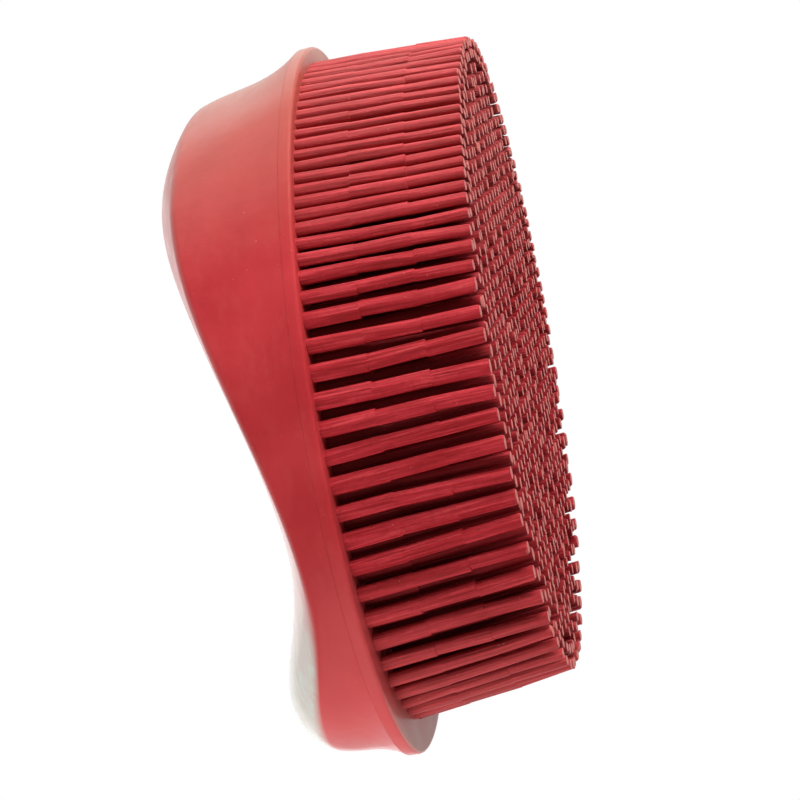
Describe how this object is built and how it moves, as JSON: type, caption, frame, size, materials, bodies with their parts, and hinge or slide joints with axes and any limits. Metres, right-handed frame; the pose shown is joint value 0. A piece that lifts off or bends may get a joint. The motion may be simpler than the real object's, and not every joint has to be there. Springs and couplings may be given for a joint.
{
  "type": "rubber curry brush",
  "caption": "Palm-held oval rubber grooming brush: a field of long flat-sided bristles under a flanged plate, with a saddle-shaped grip on its back.",
  "frame": {"origin": "on the plane of the bristle tips, below the middle of the oval flange", "axes": "+X along the brush towards the taller lobe of the grip, +Y across the brush, +Z from the bristle tips up to the grip"},
  "size_m": [0.1248, 0.0712, 0.0599],
  "materials": {
    "pad_rubber": "semi-gloss moulded red rubber, fine lengthwise drag lines on the bristles",
    "grip_rubber": "semi-gloss moulded red rubber with a soft sheen",
    "core_plastic": "plain matt moulding, hidden inside the grip"
  },
  "bodies": {
    "root": {"bristle_pad": "pad_rubber", "handle_shell": "grip_rubber", "core_frame": "core_plastic"}
  },
  "joints": []
}
